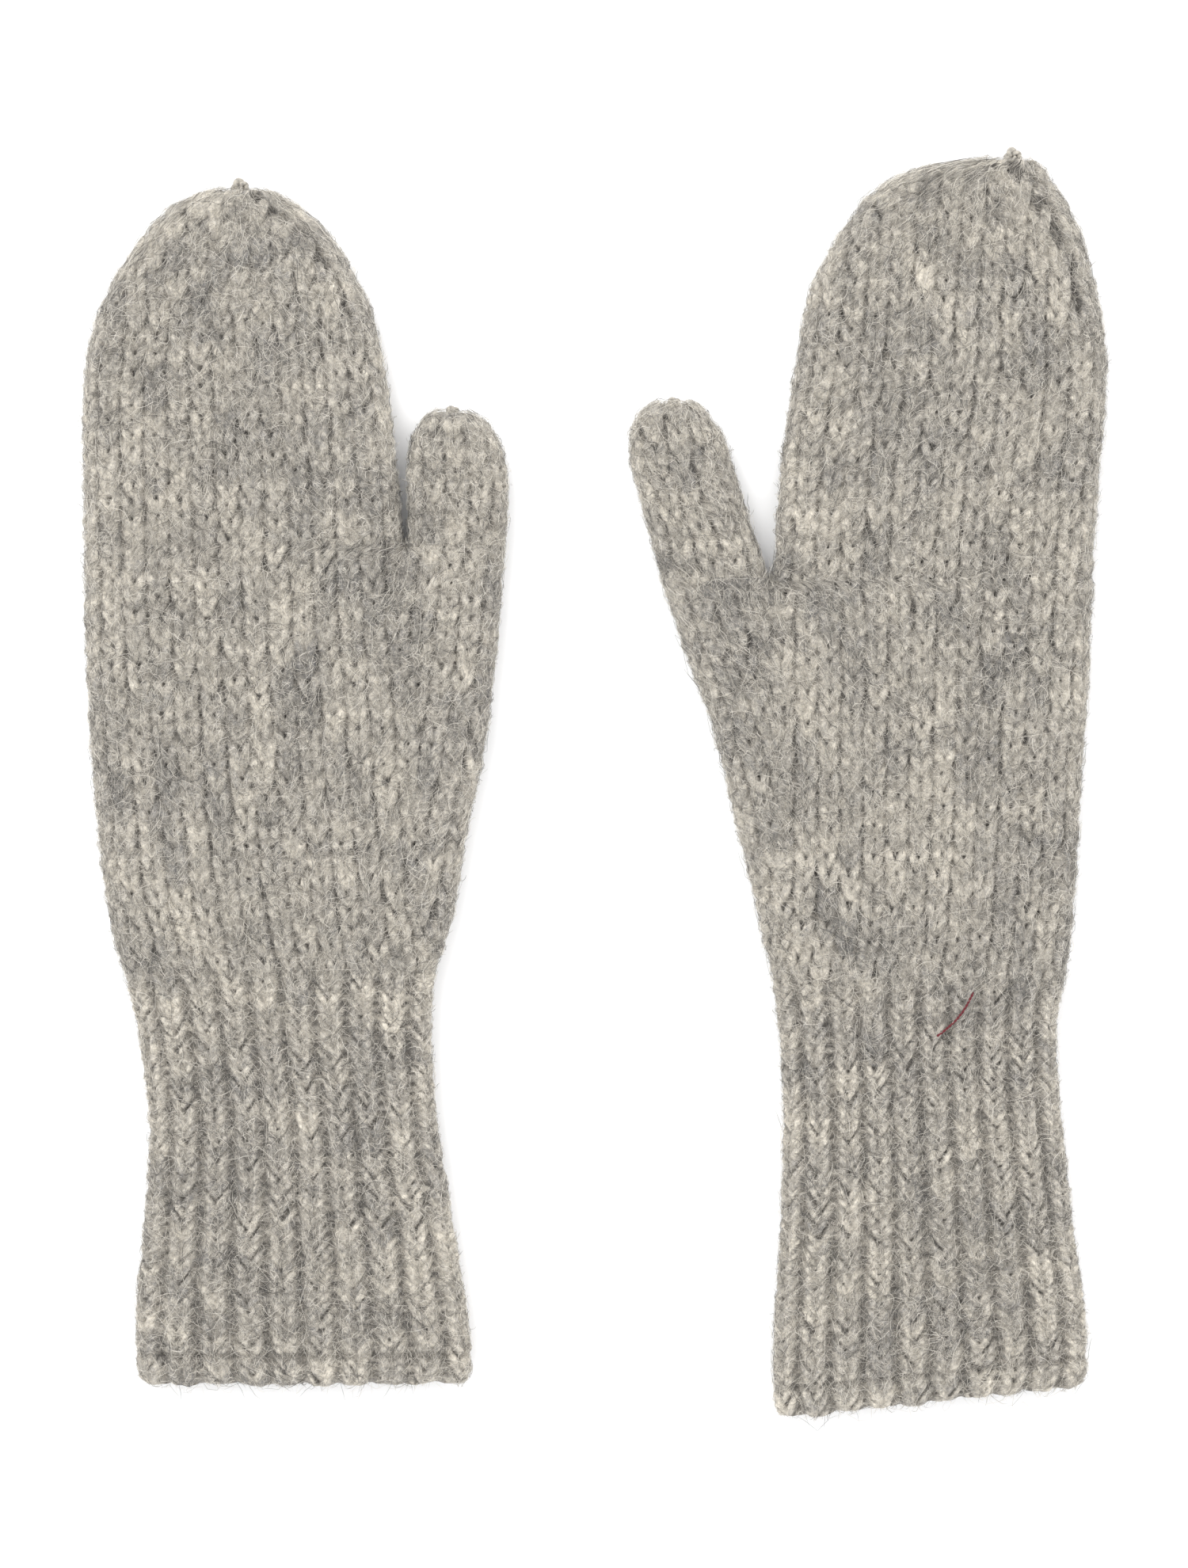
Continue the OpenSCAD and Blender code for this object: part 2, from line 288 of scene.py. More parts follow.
def wales_of(mitten, name, grid, ribbed):
    """Stitch columns as (family, number, s at a level, width at a level, wanted at a level)."""
    found = []
    girth, inner, seam = grid.girth_at, grid.inner_at, grid.seam_at
    if ribbed:
        rib_width = lambda l: RIB_WIDE * girth(l) / RIBS
        for i in range(RIBS):
            found.append((1, i, lambda l, i=i: (i + 0.5) * girth(l) / RIBS, rib_width, None))
        return found
    if name in ("hand", "cuff"):
        width = lambda l: seam(l) / MAIN_WALES
        for i in range(MAIN_WALES):
            found.append((2, i, lambda l, i=i: (i + 0.5) * width(l), width, None))
            found.append((3, i, lambda l, i=i: girth(l) - (i + 0.5) * width(l), width, None))
        thumb_width = mitten.thumb_wale
        for j in range(GUSSET_WALES):
            off = (j + 0.5) * thumb_width
            # The gusset's columns run a little under the hand's, so no gap shows between them.
            inside = lambda l, off=off: off < inner(l) - seam(l) + 0.3 * thumb_width
            found.append((4, j, lambda l, off=off: inner(l) - off, lambda l: thumb_width, inside))
            found.append((5, j, lambda l, off=off: inner(l) + off, lambda l: thumb_width, inside))
        return found
    low, high = grid.low, grid.high
    banded = name == "fingers"
    n = MAIN_WALES if banded else THUMB_WALES
    codes = (2, 3) if banded else (4, 5)
    start = low + (high - low) * (DECREASE_SHARE if banded else THUMB_DECREASE_SHARE)
    width = lambda l: girth(min(l, start)) / (2 * n)
    at_inner = mitten.sign > 0
    for i in range(n):
        number = i if banded else n - 1 - i

        def s_top(l, i=i):
            return grid.reference_at(l) + (i + 0.5 - n / 2) * width(l)

        def s_low(l, i=i):
            return girth(l) - s_top(l, i)

        def top_wanted(l, s_top=s_top):
            s, w = s_top(l), width(l)
            if banded and l > start:
                if at_inner and s > inner(l) - BAND * w:
                    return False
                if not at_inner and s < BAND * w:
                    return False
            return -0.1 * w < s < inner(l) + 0.1 * w

        def low_wanted(l, s_low=s_low):
            s, w = s_low(l), width(l)
            return inner(l) - 0.1 * w < s < girth(l) + 0.1 * w

        found.append((codes[0], number, s_top, width, top_wanted))
        found.append((codes[1], number, s_low, width, low_wanted))
    if banded:
        edge = (lambda l: inner(l) - 0.5 * width(l)) if at_inner else (lambda l: 0.5 * width(l))
        found.append((6, 0, edge, width, lambda l: l > start))
    return found


def legs_of(mitten, name, grid, ribbed, low, high):
    """Every leg of every stitch as two short straight runs of yarn on the unrolled fabric.

    A run is its two ends (s, level, height), radius, part of the leg, number, swell, then the
    stitch's column, its round and a shift of its tone."""
    rows = []
    pitch = RIB_COURSE if ribbed else COURSE
    k_low = math.floor((low - SPILL - mitten.wrist) / pitch)
    k_high = math.ceil((high + SPILL - mitten.wrist) / pitch)
    side = 0 if mitten.side == "left" else 1
    shape = RIB_LEG if ribbed else PLAIN_LEG
    thick = RIB_THICK if ribbed else LEG_THICK
    loose, uneven = (0.2, 0.12) if ribbed else (0.5, 0.3)
    for family, number, s_at, width_at, wanted in wales_of(mitten, name, grid, ribbed):
        for k in range(k_low, k_high + 1):
            level = mitten.wrist + (k + 0.5) * pitch
            if wanted is not None and not wanted(level):
                continue
            code = family * 100 + number + side * 5000
            drift = float(noise(number * 7.0 + family * 40, level, 3.0 + side * 9, 15.0)) - 0.5
            jit = [float(cell_value(code, k, q)) - 0.5 for q in range(8)]
            width = width_at(level)
            for leg, way in enumerate((-1, 1)):
                shift_s = (0.16 * jit[0] + 0.09 * jit[2 + leg]) * width
                shift_l = (0.26 * jit[1] + 0.14 * jit[4 + leg]) * pitch
                rise = loose * jit[6] + uneven * jit[4 + leg]
                r = (thick + 0.05 * jit[7]) * width
                ident = code * 997 + k * 2 + leg
                spots = []
                for along, across, up in shape:
                    l = level + along * pitch + shift_l
                    s = s_at(l) + way * across * width + shift_s
                    spots.append((s, l + 2.4 * drift, PEAK * up + rise))
                for a, b, t in ((0, 1, 0.0), (1, 2, 1.0)):
                    rows.append((*spots[a], *spots[b], r, t, ident, r * 0.82, code, k, 0.0))
            if ribbed:  # the purl bump in the valley beside the rib
                s_p = s_at(level) + 0.5 * grid.girth_at(level) / RIBS
                span = 0.12 * grid.girth_at(level) / RIBS
                up = -0.35 + 0.8 * jit[3]
                rows.append((s_p - span, level, up, s_p + span, level + 0.5 * jit[5], up, 1.0, 0.0,
                             code * 997 + k * 2 + 7, 0.8, code + 50, k, -0.05))
    rows = np.array(rows).T
    tone = grid.yarn_tone(rows[10], rows[11], (rows[0] + rows[3]) / 2) + rows[12]
    return (*rows[:7], tone, *rows[7:10])


class Grid:
    """One tube's fabric: its rounds of vertices, the stitches raised on them, and their colours."""

    def __init__(self, mitten, name):
        self.mitten, self.name = mitten, name
        sec = mitten.sections[name]
        low, high = sec.low, sec.high
        if name == "cuff":
            self.low, self.high = low + 0.7, mitten.wrist
        elif name == "hand":
            self.low, self.high = mitten.wrist, mitten.crotch
        else:
            self.low, self.high = mitten.crotch, high - 0.9
        count = int(round((self.high - self.low) / GRID)) + 1
        self.levels = np.linspace(self.low, self.high, count)
        probe = np.linspace(self.low, self.high, 60)
        _, girth, inner, seam = mitten.loops(name, probe, 64)
        self.probe, self.girth_p, self.inner_p, self.seam_p = probe, girth, inner, seam
        self.columns = int(round(girth.max() / GRID))
        self.base, self.girth, self.inner, _ = mitten.loops(name, self.levels, self.columns)
        self.reference_p = self.middle_column(probe)

    def middle_column(self, levels):
        """How far along each round the middle column is, which keeps its lean through a tip."""
        mitten, name, sec = self.mitten, self.name, self.mitten.sections[self.name]
        start = self.low + (self.high - self.low) * DECREASE_SHARE
        mids = np.array([sum(sec.at(l)[:2]) / 2 for l in (self.low, start)])
        lean = (mids[1] - mids[0]) / (start - self.low)
        ref = []
        for l in levels:
            xl, xr, _ = sec.at(l)
            whole = self.inner_at(l)
            if name != "fingers" or l <= start:
                ref.append(whole / 2)
            else:
                x = mids[1] + lean * (l - start)
                share = (x - xl) / (xr - xl)
                ref.append(whole * (share if mitten.sign > 0 else 1 - share))
        return np.array(ref)

    def girth_at(self, l):
        return float(np.interp(l, self.probe, self.girth_p))

    def inner_at(self, l):
        return float(np.interp(l, self.probe, self.inner_p))

    def seam_at(self, l):
        return float(np.interp(l, self.probe, self.seam_p))

    def reference_at(self, l):
        return float(np.interp(l, self.probe, self.reference_p))

    def yarn_tone(self, code, k, s):
        """The marl of the yarn: it runs along each round, so neighbours in a round share it."""
        side = 0 if self.mitten.side == "left" else 400
        slow = noise(s, k * 2.6 + side, 0 * s + 3.1, 7.5)
        broad = noise(s + 55, k * 4.75 + side, 0 * s + 9.7, 24.0)
        quick = cell_value(code, k, 31)
        return 0.5 + 0.5 * (slow - 0.5) + 0.2 * (broad - 0.5) + 0.27 * (quick - 0.5)

    def knit(self):
        """Works the stitches out, with rib and stockinette blended into each other at the wrist."""
        name, wrist = self.name, self.mitten.wrist
        ribbed = name == "cuff"
        h, tone, yarn = self.field(legs_of(self.mitten, name, self, ribbed, self.low, self.high))
        if name in ("hand", "cuff"):
            ends = (wrist - TURN_REACH, wrist) if ribbed else (wrist, wrist + TURN_REACH)
            h2, tone2, yarn2 = self.field(legs_of(self.mitten, name, self, not ribbed, *ends))
            share = np.clip((self.levels - wrist - TURN_OVER[0]) / (TURN_OVER[1] - TURN_OVER[0]), 0, 1)
            share = (share * share * (3 - 2 * share))[:, None]
            share = share if ribbed else 1 - share
            h = h * (1 - share) + h2 * share
            tone = tone * (1 - share) + tone2 * share
            yarn = np.where(share[..., None] > 0.5, yarn2, yarn)
        self.tone, self.yarn = tone, yarn
        self.raise_stitches(h)

    def field(self, legs):
        """Height, marl and yarn position of the stitches at each vertex of the grid."""
        s0, l0, e0, s1, l1, e1, radius, tone, part, ident, swell = legs
        rows, cols = len(self.levels), self.columns
        step = self.levels[1] - self.levels[0]
        mid_l, mid_s = (l0 + l1) / 2, (s0 + s1) / 2
        girth_mid = np.interp(mid_l, self.probe, self.girth_p)
        row0 = np.round((mid_l - self.low) / step).astype(int)
        col0 = np.round(mid_s / girth_mid * cols).astype(int)
        reach_r = int(math.ceil((np.abs(l1 - l0).max() / 2 + radius.max()) / step)) + 1
        widest = np.abs(s1 - s0).max() / 2 + radius.max()
        reach_c = min(int(math.ceil(widest / (self.girth.min() / cols) / 2)) + 2, 14)
        near_r, near_c = np.arange(-reach_r, reach_r + 1), np.arange(-reach_c, reach_c + 1)
        off_r, off_c = np.meshgrid(near_r, near_c, indexing="ij")
        total, toned = np.full(rows * cols, math.exp(SOFTNESS * GROUND)), np.zeros(rows * cols)
        weight_sum = np.full(rows * cols, 1e-9)
        best = np.full(rows * cols, -9.0)
        yarn = np.zeros((rows * cols, 3))
        batch = 3000
        for a in range(0, len(s0), batch):
            b = slice(a, a + batch)
            rr = row0[b, None, None] + off_r
            cc = col0[b, None, None] + off_c
            ok = (rr >= 0) & (rr < rows)
            rc = np.clip(rr, 0, rows - 1)
            level = self.levels[rc]
            s = cc / cols * self.girth[rc]
            vs, vl = s - s0[b, None, None], level - l0[b, None, None]
            ds, dl = (s1 - s0)[b, None, None], (l1 - l0)[b, None, None]
            t = np.clip((vs * ds + vl * dl) / (ds * ds + dl * dl), 0, 1)
            dist = np.hypot(vs - t * ds, vl - t * dl) / radius[b, None, None]
            ok &= dist < 1
            round_off = np.sqrt(np.maximum(0, 1 - dist * dist)) - 1
            h = e0[b, None, None] + t * (e1 - e0)[b, None, None] + swell[b, None, None] * round_off
            where = (rc * cols + np.mod(cc, cols))[ok]
            hv = h[ok]
            w = np.exp(SOFTNESS * hv)
            total += np.bincount(where, w, rows * cols)
            weight_sum += np.bincount(where, w, rows * cols)
            toned += np.bincount(where, w * np.broadcast_to(tone[b, None, None], h.shape)[ok], rows * cols)
            order = np.argsort(hv)
            wo = where[order]
            cross = (vs * dl - vl * ds) / np.hypot(ds, dl)
            length = np.hypot(ds, dl)
            along = (part[b, None, None] + t) * length
            across = np.broadcast_to(cross, h.shape)[ok][order]
            keep = hv[order] > best[wo]
            best_w = wo[keep]
            best[best_w] = hv[order][keep]
            yarn[best_w, 0] = np.broadcast_to(along, h.shape)[ok][order][keep]
            yarn[best_w, 1] = across[keep]
            yarn[best_w, 2] = np.broadcast_to(ident[b, None, None], h.shape)[ok][order][keep]
        h = (np.log(total) / SOFTNESS).reshape(rows, cols)
        toned = (toned / weight_sum).reshape(rows, cols)
        toned[weight_sum.reshape(rows, cols) < 1e-6] = 0.35
        yarn[:, 2] = np.mod(yarn[:, 2] * 0.618034, 1.0) * 50
        return h, toned, yarn.reshape(rows, cols, 3)

    def raise_stitches(self, stitch):
        """The fabric's surface, the surface that fibres lie on, and the painted shade of how sunk each
        vertex is.
        """
        p, m = self.base, self.mitten
        across = np.roll(p, -1, 1) - np.roll(p, 1, 1)
        down = np.gradient(p, axis=0)
        n = np.cross(across, down) * m.sign
        n /= np.maximum(np.linalg.norm(n, axis=2, keepdims=True), 1e-9)
        self.normal = n
        x, y, z = p[..., 0], p[..., 1], p[..., 2]
        felt = 0.34 * (noise(x, y, z, 2.6) - 0.5) + 0.26 * (noise(x + 9, y, z, 1.2) - 0.5)
        slack = 0.7 * (noise(x, y + 31, z, 17.0) - 0.5)
        around = ease(stitch, int(round(1.3 / GRID)), 3)
        # Painted shade: the colour is drawn darker in the holes between the legs, where the fabric lies
        # below its smoothed surroundings.
        self.painted_shade = np.clip((around - stitch - 0.06) / 0.8, 0, 1)
        h = stitch + felt + slack
        if self.name == "fingers":
            h = self.decrease_groove(h)
        # The hollow under the crotch, where the gusset is gathered, with painted shade in it.
        hollow = np.hypot(x - m.crotch_x + 3.5 * m.sign, (y - m.crotch + 9.0) * 0.7) / 5.5
        pulled = np.exp(-hollow * hollow) * (z > 4) * (0.9 if m.side == "left" else 0.35)
        h = h - 0.9 * pulled
        self.painted_shade = np.clip(self.painted_shade + 0.5 * pulled, 0, 1)
        if self.name == "cuff":
            h, p = self.shape_cuff(h, p)
        if self.name in ("fingers", "thumb"):
            h = h - 1.3 * rounded_lip((self.high - self.levels[:, None]) / 2.4)
        self.skin = p + n * h[..., None]
        self.skin[..., 2] = np.maximum(self.skin[..., 2], FLOOR_CLEAR)
        self.over = p + n * (0.5 * h + 0.5 * (ease(h, 2, 3) + 0.2))[..., None]
        self.over[..., 2] = np.maximum(self.over[..., 2], FLOOR_CLEAR)
        self.along = np.gradient(p, axis=0) / (self.levels[1] - self.levels[0])

    def shape_cuff(self, h, p):
        """The rolled hem with the groove over it, the valleys between ribs, painted shade in the groove and
        the valleys, and an uneven mouth.
        """
        x, y, z = p[..., 0], p[..., 1], p[..., 2]
        from_mouth = self.levels[:, None] - self.low
        rib = phase_of_rib(np.arange(self.columns)[None, :] / self.columns)
        from_line = from_mouth - HEM_LINE
        h = h + 0.55 * np.exp(-(((from_mouth - 4.0) / 2.6) ** 2)) - 0.7 * np.exp(-(from_line**2))
        # Painted shade along the groove over the hem.
        self.painted_shade = np.clip(self.painted_shade + 0.5 * np.exp(-((from_line / 0.9) ** 2)), 0, 1)
        valley = np.clip(0.5 - 0.5 * rib - 0.55, 0, 1) / 0.45 * (0.45 + 1.1 * noise(x, y, z, 5.0))
        valley = valley * np.clip((self.mitten.wrist - self.levels + 1) / 6, 0, 1)[:, None]
        h = h - 0.5 * valley
        # Painted shade in the valleys between the ribs.
        self.painted_shade = np.clip(self.painted_shade + 0.17 * valley, 0, 1)
        h = h - 1.5 * rounded_lip(from_mouth / 2.6)
        p = p.copy()
        ragged = 1.5 * (noise(x, y * 0 + 7, z, 6.0) - 0.5) - 0.3 * rib
        p[..., 1] += ragged * np.exp(-from_mouth / 2.5)
        return h, p

    def decrease_groove(self, h):
        """The line up one side of the tip where columns run into the edge band, sunk and with painted shade
        along it.
        """
        start = self.low + (self.high - self.low) * DECREASE_SHARE
        past = np.clip((self.levels - start + 4) / 6, 0, 1)[:, None]
        s = np.arange(self.columns)[None, :] / self.columns * self.girth[:, None]
        wide = np.minimum(self.girth, self.girth_at(start))[:, None] / (2 * MAIN_WALES)
        line = self.inner[:, None] - BAND * wide if self.mitten.sign > 0 else BAND * wide
        dent = past * np.exp(-(((s - line) / 0.85) ** 2))
        # Painted shade along the groove.
        self.painted_shade = np.clip(self.painted_shade + 0.55 * dent, 0, 1)
        return h - 0.75 * dent


def rounded_lip(share):
    """1 at a piece's very end, falling as a quarter circle to 0 where share reaches 1."""
    return 1 - np.sqrt(1 - (1 - np.clip(share, 0, 1)) ** 2)


def phase_of_rib(share):
    """1 along the middle of a rib and -1 along the middle of a valley, from a share of the girth."""
    return -np.cos(2 * math.pi * RIBS * share)


def ease(field, reach, times):
    """A field over a tube's grid with its detail smoothed away."""
    for _ in range(times):
        field = (field + np.roll(field, reach, 1) + np.roll(field, -reach, 1)) / 3
        pad = np.pad(field, ((reach, reach), (0, 0)), mode="edge")
        field = (pad[reach:-reach] + pad[2 * reach :] + pad[: -2 * reach]) / 3
    return field


# ---------------------------------------------------------------- meshes


def make_mesh(name, points, faces, maps, material, point_data=(), sharp=None):
    """faces is a list of index arrays, maps their corners' UVs. point_data is (name, type, values)."""
    mesh = bpy.data.meshes.new(name)
    mesh.vertices.add(len(points))
    mesh.vertices.foreach_set("co", (np.asarray(points) * MM).astype(np.float32).ravel())
    sizes = np.concatenate([np.full(len(f), f.shape[1]) for f in faces])
    loops = np.concatenate([f.ravel() for f in faces])
    mesh.loops.add(len(loops))
    mesh.loops.foreach_set("vertex_index", loops.astype(np.int32))
    mesh.polygons.add(len(sizes))
    starts = np.concatenate([[0], np.cumsum(sizes)[:-1]])
    mesh.polygons.foreach_set("loop_start", starts.astype(np.int32))
    mesh.polygons.foreach_set("use_smooth", np.full(len(sizes), True))
    mesh.update(calc_edges=True)
    layer = mesh.uv_layers.new(name="OFBake")
    layer.uv.foreach_set("vector", np.concatenate([m.reshape(-1) for m in maps]).astype(np.float32))
    for label, kind, values in point_data:
        layer = mesh.attributes.new(label, kind, "POINT")
        key = "vector" if kind == "FLOAT_VECTOR" else "value"
        layer.data.foreach_set(key, np.asarray(values, np.float32).ravel())
    if sharp is not None:
        ends = np.empty(len(mesh.edges) * 2, np.int32)
        mesh.edges.foreach_get("vertices", ends)
        ends = ends.reshape(-1, 2)
        mark = mesh.attributes.new("sharp_edge", "BOOLEAN", "EDGE")
        mark.data.foreach_set("value", sharp[ends[:, 0]] & sharp[ends[:, 1]])
    mesh.materials.append(material)
    obj = bpy.data.objects.new(name, mesh)
    bpy.context.scene.collection.objects.link(obj)
    return obj


def tube_faces(rows, cols, base, flip):
    r, c = np.meshgrid(np.arange(rows - 1), np.arange(cols), indexing="ij")
    a = base + r * cols + c
    b = base + r * cols + (c + 1) % cols
    quad = np.stack([a, b, b + cols, a + cols], -1).reshape(-1, 4)
    return quad[:, ::-1] if flip else quad


def tube_map(rows, cols, low, high, flip):
    """Corner UVs for tube_faces, over the full width of the map between two heights."""
    r, c = np.meshgrid(np.arange(rows - 1), np.arange(cols), indexing="ij")
    u0, u1 = c / cols, (c + 1) / cols
    v0, v1 = (low + (high - low) * (r + k) / (rows - 1) for k in (0, 1))
    corners = [(u0, v0), (u1, v0), (u1, v1), (u0, v1)]
    quad = np.stack([np.stack(p, -1) for p in corners], -2).reshape(-1, 4, 2)
    return quad[:, ::-1] if flip else quad


def fabric(name, grid, first, last, material, shut=False):
    """A closed shell from rows first to last of a grid, with a plain inner face."""
    m, cols = grid.mitten, grid.columns
    outer = grid.skin[first : last + 1]
    levels = grid.levels[first : last + 1]
    end = levels[-1] - (WALL if shut else 0)
    inner_levels = np.linspace(levels[0], end, max(3, int((end - levels[0]) / 5)))
    inner = m.loops(grid.name, inner_levels, cols, WALL, WALL)[0]
    if grid.name == "cuff" and first == 0:
        inner[0] = 0.5 * (inner[0] + outer[0])
    rows, rows_in = len(outer), len(inner)
    points = np.concatenate([outer.reshape(-1, 3), inner.reshape(-1, 3)])
    flip = m.sign < 0
    base = rows * cols
    faces = [tube_faces(rows, cols, 0, flip), tube_faces(rows_in, cols, base, not flip)]
    c = np.arange(cols)
    d = (c + 1) % cols
    near = np.stack([d, c, base + c, base + d], -1)
    faces.append(near[:, ::-1] if flip else near)
    maps = [
        tube_map(rows, cols, 0.02, 0.84, flip),
        tube_map(rows_in, cols, 0.87, 0.97, not flip),
        tube_map(2, cols, 0.0, 0.015, flip),
    ]
    o, n = (rows - 1) * cols, base + (rows_in - 1) * cols
    if shut:
        points = np.concatenate([points, outer[-1].mean(0)[None] + [[0, 0.5, 0]], inner[-1].mean(0)[None]])
        tip_o, tip_i = len(points) - 2, len(points) - 1
        cap = np.stack([o + c, o + d, np.full(cols, tip_o)], -1)
        cap_in = np.stack([n + d, n + c, np.full(cols, tip_i)], -1)
        faces += [cap[:, ::-1] if flip else cap, cap_in[:, ::-1] if flip else cap_in]
        maps += [tube_map(2, cols, 0.845, 0.86, False)[:, :3], tube_map(2, cols, 0.975, 0.99, False)[:, :3]]
    else:
        far = np.stack([o + c, o + d, n + d, n + c], -1)
        faces.append(far[:, ::-1] if flip else far)
        maps.append(tube_map(2, cols, 0.845, 0.86, flip))
    extra = len(points) - rows * cols

    def spread(values, fill):
        flat = values[first : last + 1].reshape(rows * cols, -1)
        return np.concatenate([flat, np.full((extra, flat.shape[1]), fill)])

    sharp = np.zeros(len(points), bool)
    if first > 0 or grid.name != "cuff":
        sharp[c] = True
    if not shut:
        sharp[o + c] = True
    # The second attribute is painted shade: darker colour where the fabric is sunk, and a middling amount
    # on the inner face and end walls.
    data = [
        ("tone", "FLOAT", spread(grid.tone, 0.45)),
        ("painted_shade", "FLOAT", spread(grid.painted_shade, 0.5)),
        ("yarn", "FLOAT_VECTOR", spread(grid.yarn, 0.0)),
    ]
    return make_mesh(name, points, faces, maps, material, data, sharp)


def fuzz(name, grid, density, material, key):
    """Loose fibres lying over the stitches, each a closed tapering thread."""
    rng = rng_of("fuzz", key)
    rows, cols = len(grid.levels), grid.columns
    area = float(grid.girth.sum() * (grid.levels[1] - grid.levels[0]))
    upper = grid.over[..., 2] > 3.0
    count = int(area * density)
    r0 = rng.choice(rows, count, p=grid.girth / grid.girth.sum()) + rng.random(count)
    c0 = rng.random(count) * cols
    seen = upper[np.clip(r0.astype(int), 0, rows - 1), c0.astype(int) % cols]
    keep = seen | (rng.random(count) < 0.3)
    r0, c0 = r0[keep], c0[keep]
    count = len(r0)
    long_one = rng.random(count) < LONG_SHARE
    long_length = rng.uniform(9, 19, count)
    length = np.where(long_one, long_length, np.clip(rng.lognormal(1.35, 0.45, count), 1.6, 9.5))
    thick = np.where(long_one, 0.05, rng.choice([0.032, 0.045, 0.075], count, p=[0.45, 0.35, 0.2]))
    knots = 6
    t = np.linspace(0, 1, knots)
    combed = rng.random(count) < 0.45
    combed_heading = math.pi / 2 + rng.normal(0, 0.55, count)
    heading = np.where(combed, combed_heading, rng.uniform(0, math.pi, count))
    bend = rng.normal(0, 1.5, count)
    kink = rng.normal(0, 0.8, count)
    angle = heading[:, None] + bend[:, None] * (t - 0.5) + kink[:, None] * np.sin(6.0 * t)[None]
    step = length[:, None] / (knots - 1)
    s = np.cumsum(np.cos(angle) * step, 1) - (np.cos(angle) * step).sum(1, keepdims=True) / 2
    l = np.cumsum(np.sin(angle) * step, 1) - (np.sin(angle) * step).sum(1, keepdims=True) / 2
    wanted_row = r0[:, None] + l / GRID
    row_f = np.clip(wanted_row, 0, rows - 1.001)
    pace = grid.girth[row_f.astype(int)] / cols
    col_f = c0[:, None] + s / pace
    ri, ci = row_f.astype(int), np.floor(col_f).astype(int)
    fr, fc = (row_f - ri)[..., None], (col_f - ci)[..., None]

    def pick(field):
        a, b = field[ri, ci % cols], field[ri, (ci + 1) % cols]
        c, d = field[ri + 1, ci % cols], field[ri + 1, (ci + 1) % cols]
        return (a * (1 - fc) + b * fc) * (1 - fr) + (c * (1 - fc) + d * fc) * fr

    # A fibre that runs off the grid goes straight on, but hardly past a closed tip.
    past_top = 0.4 if grid.name in ("fingers", "thumb") else 6
    beyond = np.clip((wanted_row - row_f) * GRID, -6, past_top)
    centre = pick(grid.over) + pick(grid.along) * beyond[..., None]
    normal = pick(grid.normal)
    normal /= np.maximum(np.linalg.norm(normal, axis=2, keepdims=True), 1e-6)
    low_lift = rng.uniform(-0.1, 0.45, count)
    arch = np.abs(rng.normal(0, 0.34, count)) * np.where(long_one, 1.8, 1.0)
    free = np.where(rng.random(count) < 0.3, np.abs(rng.normal(0, 0.9, count)), 0.0)
    lift = low_lift[:, None] + arch[:, None] * np.sin(math.pi * t)[None] + free[:, None] * (t**2)[None]
    centre = centre + normal * lift[..., None]
    centre[..., 2] = np.maximum(centre[..., 2], FLOOR_CLEAR)
    run = np.gradient(centre, axis=1)
    run /= np.maximum(np.linalg.norm(run, axis=2, keepdims=True), 1e-9)
    side = np.cross(run, normal)
    side /= np.maximum(np.linalg.norm(side, axis=2, keepdims=True), 1e-9)
    up = np.cross(side, run)
    body = slice(1, knots - 1)
    rings = []
    for q in range(3):
        a = 2 * math.pi * q / 3
        out = math.cos(a) * up[:, body] + math.sin(a) * side[:, body]
        rings.append(centre[:, body] + thick[:, None, None] * out)
    ring = np.stack(rings, 2).reshape(count, -1, 3)
    per = 3 * (knots - 2) + 2
    points = np.concatenate([centre[:, :1], ring, centre[:, -1:]], 1).reshape(-1, 3)
    points[:, 2] = np.maximum(points[:, 2], 0.02)
    quads, tris = [], []
    for k in range(knots - 3):
        for q in range(3):
            a, b = 1 + 3 * k + q, 1 + 3 * k + (q + 1) % 3
            quads.append((a, b, b + 3, a + 3))
    last = per - 1
    for q in range(3):
        tris.append((0, 1 + (q + 1) % 3, 1 + q))
        tris.append((last, last - 3 + q, last - 3 + (q + 1) % 3))
    base = (np.arange(count) * per)[:, None, None]
    faces = [(base + np.array(quads)).reshape(-1, 4), (base + np.array(tris)).reshape(-1, 3)]
    local = grid.tone[np.clip(r0.astype(int), 0, rows - 1), c0.astype(int) % cols]
    shade = 0.5 * local + 0.38 + rng.normal(0, 0.32, count)
    shade = np.where(rng.random(count) < 0.16, 0.95, shade)
    shade = np.where(long_one & (rng.random(count) < 0.55), 0.98, shade)
    shade = np.where(long_one & (rng.random(count) < 0.25), 0.05, shade)
    data = [("shade", "FLOAT", np.repeat(np.clip(shade, 0, 1), per))]
    # Each fibre has its own small cell of the map.
    side_cells = math.ceil(math.sqrt(count))
    ring_at, step_at = np.arange(1, per - 1) % 3, (np.arange(1, per - 1) + 2) // 3
    own = np.array([(0.5, 0.05), *zip(0.1 + 0.4 * ring_at, step_at / (knots - 1)), (0.5, 0.95)])
    cell = np.stack(np.divmod(np.arange(count), side_cells), -1)
    flat = ((cell[:, None] + 0.06 + 0.88 * own[None]) / side_cells).reshape(-1, 2)
    return make_mesh(name, points, faces, [flat[f] for f in faces], material, data)


